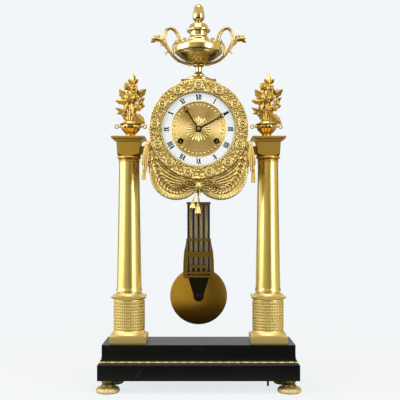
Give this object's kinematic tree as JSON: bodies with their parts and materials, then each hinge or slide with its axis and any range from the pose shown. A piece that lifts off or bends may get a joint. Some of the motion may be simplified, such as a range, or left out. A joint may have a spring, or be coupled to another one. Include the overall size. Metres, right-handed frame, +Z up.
{
  "type": "portico clock",
  "caption": "Free-standing mantel clock: a drum movement with ringed dial hung between gilt columns on a stepped marble base, gridiron pendulum below, urn above.",
  "frame": {"origin": "on the table under the middle of the clock's bounding box", "axes": "+Z up, the dial faces -Y, +X to the right as seen from the front"},
  "size_m": [0.279, 0.0872, 0.5361],
  "materials": {
    "black_marble": "polished",
    "gilt_bronze": "matt gilding",
    "burnished_gilt": "burnished gilding",
    "dark_gilt": "toned gilding",
    "enamel": "glazed",
    "blued_steel": "blued",
    "black_steel": "blackened",
    "steel": "polished",
    "clock_brass": "lacquered",
    "bell_metal": "turned"
  },
  "bodies": {
    "frame": {"lower_slab": "black_marble", "upper_slab": "black_marble", "bead_strip": "gilt_bronze", "feet": "gilt_bronze", "pedestal_left": "gilt_bronze", "pedestal_right": "gilt_bronze", "pedestal_cap_left": "gilt_bronze", "pedestal_cap_right": "gilt_bronze", "shaft_left": "burnished_gilt", "shaft_right": "burnished_gilt", "capital_left": "gilt_bronze", "capital_right": "gilt_bronze", "tie_rods": "steel", "vase_left": "gilt_bronze", "vase_right": "gilt_bronze", "bouquet_left": "dark_gilt", "bouquet_right": "dark_gilt", "drum_case": "burnished_gilt", "brackets": "clock_brass", "back_ring": "clock_brass", "bezel": "gilt_bronze", "swag": "gilt_bronze", "bow_and_tassels": "gilt_bronze", "saddle": "burnished_gilt", "urn_stem": "burnished_gilt", "urn_bowl": "burnished_gilt", "urn_lid": "burnished_gilt", "acorn": "gilt_bronze", "urn_handle_left": "gilt_bronze", "urn_handle_right": "gilt_bronze", "urn_rod": "steel", "dial_plate": "clock_brass", "dial_ring": "enamel", "dial_centre": "gilt_bronze", "winding_collars": "black_steel", "front_plate": "clock_brass", "back_plate": "clock_brass", "suspension_cock": "clock_brass", "bell": "bell_metal"},
    "pendulum": {"pendulum_rod": "steel", "steel_rods": "steel", "brass_rods": "clock_brass", "grid_bars": "gilt_bronze", "bob": "burnished_gilt", "bob_hanger": "black_steel"},
    "pallets": {"pallet_arbor": "steel"},
    "minute_work": {"minute_hand": "blued_steel", "hand_nut": "blued_steel", "centre_arbor": "steel"},
    "hour_work": {"hour_hand": "blued_steel", "hour_wheel": "clock_brass"},
    "motion_wheel": {"minute_wheel": "clock_brass"},
    "second_mobile": {"second_wheel": "clock_brass"},
    "going_spring": {"going_barrel": "clock_brass"},
    "strike_spring": {"strike_barrel": "clock_brass"},
    "escape": {"escape_wheel": "clock_brass"},
    "going_winder": {"going_arbor": "steel"},
    "strike_winder": {"strike_arbor": "steel"},
    "strike_hammer": {"hammer": "steel"},
    "back_door": {"back_cover": "clock_brass"}
  },
  "joints": [
    {"name": "pendulum_swing", "type": "hinge", "parent": "frame", "child": "pendulum", "pos_m": [0, 0.016, 0.388], "axis": [0, 1, 0], "range_deg": [-4, 4]},
    {"name": "pallet_rock", "type": "hinge", "parent": "frame", "child": "pallets", "pos_m": [0, 0.016, 0.388], "axis": [0, 1, 0], "range_deg": [-5, 5]},
    {"name": "minute_hand_turn", "type": "hinge", "parent": "frame", "child": "minute_work", "pos_m": [0, 0, 0.357], "axis": [0, 1, 0], "continuous": true},
    {"name": "hour_hand_turn", "type": "hinge", "parent": "frame", "child": "hour_work", "pos_m": [0, 0, 0.357], "axis": [0, 1, 0], "continuous": true},
    {"name": "minute_wheel_turn", "type": "hinge", "parent": "frame", "child": "motion_wheel", "pos_m": [0, 0, 0.3696], "axis": [0, 1, 0], "continuous": true},
    {"name": "second_wheel_turn", "type": "hinge", "parent": "frame", "child": "second_mobile", "pos_m": [0.014, 0, 0.35685], "axis": [0, 1, 0], "continuous": true},
    {"name": "going_barrel_turn", "type": "hinge", "parent": "frame", "child": "going_spring", "pos_m": [0.0244, 0, 0.3408], "axis": [0, 1, 0], "continuous": true},
    {"name": "strike_barrel_turn", "type": "hinge", "parent": "frame", "child": "strike_spring", "pos_m": [-0.0244, 0, 0.3408], "axis": [0, 1, 0], "continuous": true},
    {"name": "escape_wheel_turn", "type": "hinge", "parent": "frame", "child": "escape", "pos_m": [0, 0, 0.376], "axis": [0, 1, 0], "continuous": true},
    {"name": "going_winding", "type": "hinge", "parent": "frame", "child": "going_winder", "pos_m": [0.0244, 0, 0.3408], "axis": [0, 1, 0], "range_deg": [0, 1530]},
    {"name": "strike_winding", "type": "hinge", "parent": "frame", "child": "strike_winder", "pos_m": [-0.0244, 0, 0.3408], "axis": [0, 1, 0], "range_deg": [0, 1530]},
    {"name": "hammer_swing", "type": "hinge", "parent": "frame", "child": "strike_hammer", "pos_m": [-0.042, 0, 0.367], "axis": [0, 1, 0], "range_deg": [0, 12], "stiffness_Nm_per_rad": 0.01, "springref_deg": -10.03},
    {"name": "back_cover_hinge", "type": "hinge", "parent": "frame", "child": "back_door", "pos_m": [0.0665, 0.0379, 0.357], "axis": [0, 0, -1], "range_deg": [0, 110]}
  ],
  "couplings": [
    {"joint": "pallet_rock", "follows": "pendulum_swing", "ratio": 1},
    {"joint": "hour_hand_turn", "follows": "minute_hand_turn", "ratio": 0.083333},
    {"joint": "minute_wheel_turn", "follows": "minute_hand_turn", "ratio": -0.33333},
    {"joint": "second_wheel_turn", "follows": "minute_hand_turn", "ratio": -0.16667},
    {"joint": "going_barrel_turn", "follows": "minute_hand_turn", "ratio": 0.020833}
  ]
}
